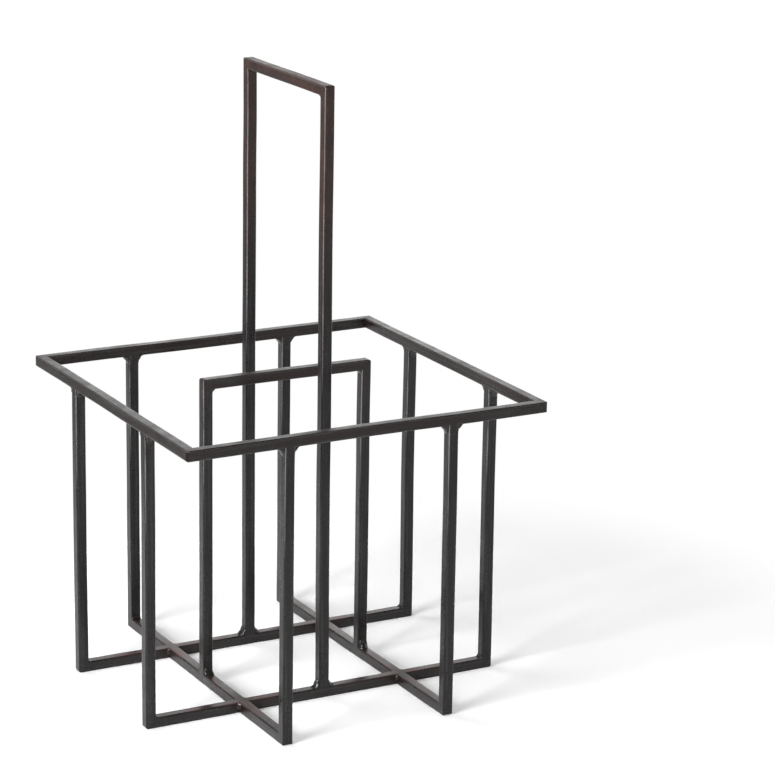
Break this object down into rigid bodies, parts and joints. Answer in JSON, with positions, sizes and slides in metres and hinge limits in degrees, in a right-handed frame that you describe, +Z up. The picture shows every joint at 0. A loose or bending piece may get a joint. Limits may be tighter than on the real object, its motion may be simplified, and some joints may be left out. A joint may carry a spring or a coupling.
{
  "type": "bottle caddy",
  "caption": "Open bottle carrier welded from slim square steel bar: a mitred rim on legs, crossed floor bars, a low divider hoop and a tall central carrying handle.",
  "frame": {"origin": "on the floor under the middle of the rim, where the undersides of the floor bars lie in one plane", "axes": "+Z up the handle; X along the rim's longer side, left to right; Y along the grip, front to back"},
  "size_m": [0.2, 0.192, 0.32],
  "materials": {
    "lacquered_bar": "dark bronze-black satin lacquer over hot-rolled square bar",
    "lacquered_weld": "the same lacquer over dressed weld beads"
  },
  "bodies": {
    "root": {"rim_front_bar": "lacquered_bar", "rim_back_bar": "lacquered_bar", "rim_left_bar": "lacquered_bar", "rim_right_bar": "lacquered_bar", "front_leg_left": "lacquered_bar", "front_leg_right": "lacquered_bar", "back_leg_left": "lacquered_bar", "back_leg_right": "lacquered_bar", "left_leg_front": "lacquered_bar", "left_leg_back": "lacquered_bar", "right_leg_front": "lacquered_bar", "right_leg_back": "lacquered_bar", "floor_bar_left": "lacquered_bar", "floor_bar_right": "lacquered_bar", "floor_front_stub_left": "lacquered_bar", "floor_front_middle": "lacquered_bar", "floor_front_stub_right": "lacquered_bar", "floor_back_stub_left": "lacquered_bar", "floor_back_middle": "lacquered_bar", "floor_back_stub_right": "lacquered_bar", "handle_post_front": "lacquered_bar", "handle_post_back": "lacquered_bar", "handle_grip": "lacquered_bar", "divider_post_left": "lacquered_bar", "divider_post_right": "lacquered_bar", "divider_top": "lacquered_bar", "leg_top_welds": "lacquered_weld", "foot_corner_welds": "lacquered_weld", "floor_crossing_welds": "lacquered_weld", "handle_foot_welds": "lacquered_weld", "handle_corner_welds": "lacquered_weld", "divider_foot_welds": "lacquered_weld", "divider_corner_welds": "lacquered_weld"}
  },
  "joints": []
}
